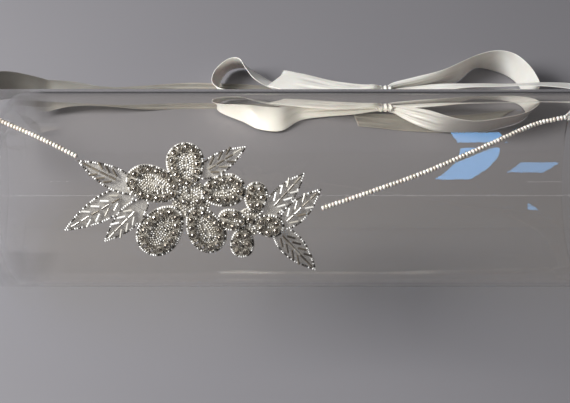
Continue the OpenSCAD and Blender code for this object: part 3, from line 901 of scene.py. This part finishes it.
def leaf_sheet(name, leaf, high, finish):
    """A leaf's tulle, stretched between its beaded edges."""
    along = 36
    across = 10
    verts = []
    for i in range(along + 1):
        t = i / along
        half = (leaf[4] - TULLE_INSET) * leaf_half(t)
        for j in range(across + 1):
            side = half * (2 * j / across - 1)
            verts.append(on_stand(*leaf_point(leaf, t, side), high) * MM)
    mesh = row_mesh(name, verts, across)
    facing_out(mesh)
    if mesh.polygons[len(mesh.polygons) // 2].normal.dot(outward(leaf[0], leaf[1])) < 0:
        mesh.flip_normals()
    return smooth_piece(name, mesh, finish)


# Beads, stones and bugles

class Sewing:
    """Beads that keep clear of the stones and of each other."""

    def __init__(self, seed):
        self.chance = random.Random(seed)
        self.taken = []

    def astray(self, most):
        """A small random step in any direction."""
        return Vector([self.chance.uniform(-most, most) for _ in range(3)])

    def free(self, place, radius, share):
        """Whether a bead has room there. It may stand a little into its neighbours."""
        return all((place - other).length >= share * (radius + size) for other, size in self.taken)

    def bead(self, spots, stitch, kind):
        """Sews one seed bead, threaded along its row, where there is room for it."""
        x, w = stitch[:2]
        high, radius, share, tones, upright = kind
        place = on_stand(x, w, high)
        if not self.free(place, radius, share):
            return
        self.taken.append((place, radius))
        along = direction(*stitch)
        out = outward(x, w)
        if self.chance.random() < upright:
            along, out = out, along
        along = (along + self.astray(0.16)).normalized()
        scale = radius / BEAD_R * self.chance.uniform(0.94, 1.04)
        spots.append(Spot(place, along, out, (scale, scale, scale), self.chance.choice(tones)))


def stone_spots(petals, singles, sewing):
    """Where the round stones stand, each a little tilted."""
    places = [place for petal in petals for place in stone_places(petal)]
    places += [(x, w, 1, 0) for x, w in singles]
    spots = []
    for x, w, dx, dw in places:
        up = outward(x, w) + sewing.astray(STONE_TILT)
        spots.append(Spot(on_stand(x, w, STONE_HIGH), up, direction(x, w, dx, dw), (1, 1, 1),
                          sewing.chance.random()))
        sewing.taken.append((on_stand(x, w, 1.4), STONE_R))
    return spots


def flower_bead_spots(petals, middle, sewing):
    """The beaded edge of each petal, the rows inside its ring of stones and the filled middle."""
    spots = []
    for k, petal in enumerate(petals):
        others = petals[:k] + petals[k + 1:]
        for stitch in evenly(egg(petal, NET, -EDGE_INSET, 3), EDGE_PITCH):
            by_stones = any(in_petal(stitch, other, STONES, STONE_ROOM) for other in others)
            if not by_stones and not any(in_petal(stitch, other, NET, -0.4) for other in petals[:k]):
                sewing.bead(spots, stitch, PETAL_EDGE)
    for petal in petals:
        inset = FILL_INSET
        while petal[STONES + 1] - inset > 0.3:
            for stitch in evenly(egg(petal, STONES, -inset, 3), FILL_PITCH):
                sewing.bead(spots, stitch, PETAL_FILL)
            inset += FILL_PITCH
        sewing.bead(spots, (petal[0], petal[1], 1, 0), PETAL_CENTRE)
        for stitch in evenly(egg(petal, STONES, GAP_OUT, 3), GAP_PITCH):
            if in_net(stitch, petals, middle, -1.2):
                sewing.bead(spots, stitch, GAP_FILL)
    ring = middle[2] - 0.6
    while ring > 0:
        turns = max(1, round(math.tau * ring / MIDDLE_PITCH))
        for k in range(turns):
            angle = math.tau * (k + 0.37 * ring) / turns
            x = middle[0] + ring * math.cos(angle)
            w = middle[1] + ring * math.sin(angle)
            sewing.bead(spots, (x, w, -math.sin(angle), math.cos(angle)), MIDDLE_FILL)
        ring -= MIDDLE_STEP
    return spots


def leaf_edge_spots(sewing):
    """The beaded edge of each leaf, left out where another leaf or a flower covers it."""
    spots = []
    for k, leaf in enumerate(LEAVES.values()):
        over = list(LEAVES.values())[:k]
        for side in (-1, 1):
            shares = [i / 80 for i in range(2, 81)]
            half = side * (leaf[4] - EDGE_INSET)
            line = [leaf_point(leaf, t, half * leaf_half(t)) for t in shares]
            for stitch in evenly(line, EDGE_PITCH, closed=False):
                if not (in_net(stitch, FLOWER, FLOWER_MIDDLE, 0.3)
                        or in_net(stitch, SMALL_FLOWER, SMALL_MIDDLE, 0.3)
                        or any(in_leaf(stitch, other, 0.2) for other in over)):
                    sewing.bead(spots, stitch, LEAF_EDGE)
    return spots


def bugle_ends(leaf):
    """The two ends of each bugle bead of a leaf."""
    long = leaf_line(leaf)[0]
    start, ribs, sides = leaf[5:8]
    ends = []
    pitch = (RIB_END - start) / ribs
    reach = min(BUGLE_L / long, pitch - RIB_SPACE) / 2
    for k in range(ribs):
        t = start + (k + 0.5) * pitch
        ends.append((leaf_point(leaf, t - reach, 0), leaf_point(leaf, t + reach, 0)))
    slant = math.radians(SIDE_SLANT)
    for side in (-1, 1):
        for k in range(sides):
            t = start + (k + SIDE_PLACE + SIDE_SHIFT * side) * (SIDES_END - start) / sides
            room = (leaf[4] * leaf_half(t) - SIDE_START) * SIDE_FILL
            run = min(BUGLE_L, room / math.sin(slant))
            tip = leaf_point(leaf, t + run * math.cos(slant) / long,
                             side * (SIDE_START + run * math.sin(slant)))
            ends.append((leaf_point(leaf, t, side * SIDE_START), tip))
    return ends


def bugle_spots(sewing):
    """The bugle beads along the midribs and beside them, grey or bright from leaf to leaf."""
    spots = []
    for leaf in LEAVES.values():
        for k, (a, b) in enumerate(bugle_ends(leaf)):
            tones = RIB_TONES if k < leaf[6] else leaf[8:]
            start = on_stand(*a, BUGLE_HIGH)
            stop = on_stand(*b, BUGLE_HIGH)
            out = outward((a[0] + b[0]) / 2, (a[1] + b[1]) / 2)
            along = stop - start + sewing.astray(0.12)
            length = (stop - start).length * MM
            spots.append(Spot((start + stop) / 2, along, out, (1, 1, length),
                              sewing.chance.uniform(*tones)))
    return spots


def smooth_rows(rows, steps):
    """A smooth curve through a table's rows."""
    out = []
    last = len(rows) - 1
    for i in range(last):
        near = (rows[max(0, i - 1)], rows[i], rows[i + 1], rows[min(last, i + 2)])
        for k in range(steps):
            t = k / steps
            out.append([0.5 * (2 * q + (r - p) * t + (2 * p - 5 * q + 4 * r - s) * t * t
                               + (3 * q - p - 3 * r + s) * t ** 3) for p, q, r, s in zip(*near)])
    out.append(list(rows[last]))
    return out


def strand_spots(on, air, sewing):
    """The pearl beads of one strand, each against the next."""
    rows = [on_stand(x, w, STRAND_HIGH) for x, w in on]
    rows += [Vector((x, STAND_Y + back, z)) for x, back, z in air]
    line = [Vector(row) for row in smooth_rows([tuple(row) for row in rows], 24)]
    spots = []
    run = STRAND_PITCH / 2
    for a, b in zip(line, line[1:]):
        step = (b - a).length
        while run <= step:
            place = a + (b - a) * (run / step)
            along = (b - a).normalized() + sewing.astray(0.09)
            off = sewing.astray(0.06)
            scale = sewing.chance.uniform(0.95, 1.02)
            spots.append(Spot(place + off, along, Vector((0, -0.7, 0.71)), (scale, scale, 1.0),
                              sewing.chance.random()))
            run += STRAND_PITCH
        run -= step
    return spots


# The ribbon

def ribbon_frame(rows):
    """Each row's middle, the direction across and the direction off the ribbon."""
    middles = []
    for x, back, lift, turn, lean, share in rows:
        rise = RIBBON_W * share / 2 * abs(math.sin(math.radians(lean)))
        middles.append(Vector((x, STAND_Y + back, max(0.0, lift) + rise + RIBBON_LIFT)))
    frames = []
    for i, row in enumerate(rows):
        ahead = (middles[min(len(rows) - 1, i + 1)] - middles[max(0, i - 1)]).normalized()
        turn = math.radians(row[3])
        lean = math.radians(row[4])
        wide = Vector((math.cos(lean) * math.cos(turn), math.cos(lean) * math.sin(turn), math.sin(lean)))
        off = ahead.cross(wide).normalized()
        frames.append((middles[i], wide, off, ahead))
    return frames


def inside_knot(row):
    """The row that carries a ribbon's end well into the knot."""
    x, back, lift, turn, lean, share = row
    low = KNOT[2] - RIBBON_W * share / 2 * abs(math.sin(math.radians(lean)))
    inner = KNOT[0] + 0.4 * (x - KNOT[0])
    return (inner, (back + KNOT[1]) / 2, (lift + low) / 2, turn, lean, share * 0.9)


def into_knot(rows):
    """The rows with one more at each end that meets the knot."""
    longer = list(rows)
    if abs(rows[-1][0] - KNOT[0]) <= KNOT_L:
        longer.append(inside_knot(rows[-1]))
    if abs(rows[0][0] - KNOT[0]) <= KNOT_L:
        longer.insert(0, inside_knot(rows[0]))
    return longer


def cloth(name, verts, flat, across, thick, finish):
    """Satin with each point's place on the flat ribbon, across and along, in its own layer."""
    mesh = row_mesh(name, verts, across)
    layer = mesh.uv_layers.new(name="ribbon")
    for loop in mesh.loops:
        layer.data[loop.index].uv = flat[loop.vertex_index]
    piece = smooth_piece(name, mesh, finish)
    wall = piece.modifiers.new("cloth thickness", "SOLIDIFY")
    wall.thickness = thick * MM
    wall.offset = 0
    return piece


def ribbon_strip(name, rows, finish, seed, cuts):
    """A stretch of satin ribbon, gathered into soft pleats where it is narrower than it was woven."""
    rows = smooth_rows(into_knot(rows), 10)
    frames = ribbon_frame(rows)
    phase = random.Random(seed).uniform(0, math.tau)
    across = 28
    run = 0.0
    verts = []
    flat = []
    last = len(rows) - 1
    for i, (row, (middle, wide, off, ahead)) in enumerate(zip(rows, frames)):
        if i:
            run += (middle - frames[i - 1][0]).length
        share = min(1.0, row[5])
        skew = cuts[0] if i == 0 else cuts[1] if i == last else 0
        fold = min(1.0, math.sqrt(max(0.0, 1 / share ** 2 - 1)))
        for j in range(across + 1):
            u = 2 * j / across - 1
            pleats = math.sin(2.6 * math.pi * u + phase + 0.02 * run)
            pleats += 0.5 * math.sin(5.3 * math.pi * u + 2 * phase)
            lift = PLEAT_HIGH * fold * pleats
            lift += CURL_HIGH * (0.5 - u * u) * math.sin(run * 0.045 + phase)
            lift += WAVE_HIGH * u * math.sin(run * 0.21 + 2 * phase)
            place = middle + wide * (RIBBON_W * share / 2 * u) + off * lift + ahead * (skew * u)
            place.z = max(place.z, RIBBON_FLOOR)
            verts.append(place * MM)
            flat.append((u * RIBBON_W / 2 * MM, run * MM))
    return cloth(name, verts, flat, across, RIBBON_THICK, finish), run


def make_knot(finish):
    """The knot: a gathered stretch of the ribbon wound once round the others."""
    around = 84
    across = 56
    turn_all = math.radians(400)
    core = KNOT_R - 0.8
    verts = []
    flat = []
    for i in range(around + 1):
        angle = turn_all * i / around
        for j in range(across + 1):
            u = 2 * j / across - 1
            end = max(0.62, math.sqrt(1 - 0.8 * abs(u) ** 4))
            ripple = 0.8 * math.sin(4.1 * math.pi * u + 0.7 * math.sin(angle))
            ripple += 0.2 * math.sin(8.7 * math.pi * u + 2)
            r = (core - 0.5 * i / around) * end + 0.75 * ripple
            square = 1 + 0.06 * math.cos(4 * angle)
            x = KNOT[0] + KNOT_L / 2 * u * (1 + 0.04 * math.sin(3 * angle))
            y = STAND_Y + KNOT[1] + 1.06 * r * square * math.cos(angle - 2.2)
            z = KNOT[2] + 0.92 * r * square * math.sin(angle - 2.2)
            verts.append(Vector((x, y, z)) * MM)
            flat.append((u * RIBBON_W / 2 * MM, core * angle * MM))
    return cloth("satin_knot", verts, flat, across, KNOT_THICK, finish), core * turn_all


# Everything together

def settle(piece, node, lit_with=None):
    """Hides the solid that the piece stands for, hangs the piece on the root body and puts it in the group
    it is lit with.
    """
    if node:
        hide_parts(node)
    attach(piece, "root")
    if lit_with:
        lit_with.objects.link(piece)


set_camera()
clear_things, not_clear, sewn_things, satin_things = [bpy.data.collections.new(name) for name in (
    "clear_things", "all_but_the_clear_things", "sewn_things", "satin_things")]
set_studio(clear_things, not_clear, sewn_things, satin_things)

glass = make_cylinder(glass_finish())
glass.visible_diffuse = False
settle(glass, "stand_cylinder", clear_things)
not_clear.objects.link(glass)
not_clear.collection_objects[0].light_linking.link_state = "EXCLUDE"

cream_net = cream_net_finish()
settle(thin_net("flower_backing", "flower_net", cream_net), "flower_net")
settle(thin_net("small_flower_backing", "small_flower_net", cream_net), "small_flower_net")

tulle = tulle_finish()
for order, (name, leaf) in enumerate(LEAVES.items()):
    sheet = leaf_sheet(name + "_tulle", leaf, TULLE_HIGH - TULLE_STEP * order, tulle)
    settle(sheet, name)

sewing = Sewing(7)
large_stones = stone_spots(FLOWER, FLOWER_SINGLES, sewing)
small_stones = stone_spots(SMALL_FLOWER, SMALL_SINGLES, sewing)
large_beads = flower_bead_spots(FLOWER, FLOWER_MIDDLE, sewing)
small_beads = flower_bead_spots(SMALL_FLOWER, SMALL_MIDDLE, sewing)
edge_beads = leaf_edge_spots(sewing)
bugles = bugle_spots(sewing)

crystal = crystal_finish()
cups = cup_finish()
stones_made = stone_tree()
cups_made = cup_tree()
beads_made = bead_tree()
# The lowest stops give the near black edge beads, painted shade for the gaps between beads
seed_glass = lined_glass_finish("silver_lined_seed_beads", [
    (0.0, (0.03, 0.025, 0.02)), (0.25, (0.1, 0.085, 0.065)), (0.35, (0.36, 0.33, 0.27)),
    (0.75, (0.72, 0.68, 0.6)), (0.88, (1.0, 0.99, 0.96))], 0.16)
bugle_glass = lined_glass_finish("silver_lined_bugles", [
    (0.0, (0.05, 0.042, 0.034)), (0.4, (0.2, 0.17, 0.13)), (0.6, (0.6, 0.57, 0.5)),
    (1.0, (1.0, 0.99, 0.96))], 0.12)

for name, spots, tree, finish, slot_name, node in (
        ("large_flower_crystals", large_stones, stones_made, crystal, "stones", "flower_stones"),
        ("large_flower_cups", large_stones, cups_made, cups, "stones", None),
        ("small_flower_crystals", small_stones, stones_made, crystal, "stones", "small_flower_stones"),
        ("small_flower_cups", small_stones, cups_made, cups, "stones", None),
        ("large_flower_seed_beads", large_beads, beads_made, seed_glass, "bugles", None),
        ("small_flower_seed_beads", small_beads, beads_made, seed_glass, "bugles", None),
        ("leaf_edge_seed_beads", edge_beads, beads_made, seed_glass, "bugles", None),
        ("leaf_bugle_beads", bugles, bugle_tree(), bugle_glass, "bugles", "leaf_bugles")):
    settle(grown(name, spots, tree, {}, finish), node, sewn_things)

pearl = pearl_finish()
pearl_sizes = {"Bead radius": STRAND_D / 2 * MM, "Hole radius": 0.25 * MM, "Bead length": 1.62 * MM,
               "Sides": 12, "Ring sides": 7}
for name, on, air, node in (("left_strand_pearls", LEFT_ON_STAND, LEFT_IN_AIR, "strand_left"),
                            ("right_strand_pearls", RIGHT_ON_STAND, RIGHT_IN_AIR, "strand_right")):
    strand = grown(name, strand_spots(on, air, sewing), beads_made, pearl_sizes, pearl)
    settle(strand, node, sewn_things)

satin = satin_finish("ivory_satin", (0.84, 0.81, 0.75), (0.93, 0.91, 0.86), 0.32)
# The satin's reverse side, for the left ribbon and the lower tail: rougher and duller, and painted about
# three times darker than the face as shade
shaded_satin = satin_finish("satin_dull_side_painted_in_shade", (0.24, 0.225, 0.195), (0.31, 0.29, 0.255), 0.5)
for name, rows, node, side, lit_with, seed, cuts, held, rests in (
        ("left_ribbon", RIBBON_LEFT, "ribbon_left", shaded_satin, satin_things, 3, (0, 0), "laid",
         ["strand_left", "bow_knot"]),
        ("right_ribbon", RIBBON_RIGHT, "ribbon_right", satin, None, 5, (0, 0), "hung",
         ["strand_right", "bow_knot"]),
        ("left_bow_loop", LOOP_LEFT, "bow_loop_left", satin, satin_things, 11, (0, 0), "folded",
         ["bow_knot"]),
        ("right_bow_loop", LOOP_RIGHT, "bow_loop_right", satin, None, 13, (0, 0), "folded", ["bow_knot"]),
        ("upper_tail", TAIL_UPPER, "tail_upper", satin, satin_things, 17, (0, -TAIL_SLANT / 2), "laid",
         ["bow_knot", "bow_loop_left"]),
        ("lower_tail", TAIL_LOWER, "tail_lower", shaded_satin, satin_things, 19, (0, TAIL_SLANT), "laid",
         ["bow_knot"])):
    piece, length = ribbon_strip(name, rows, side, seed, cuts)
    settle(piece, node, lit_with)
knot, length = make_knot(satin)
settle(knot, "bow_knot", satin_things)
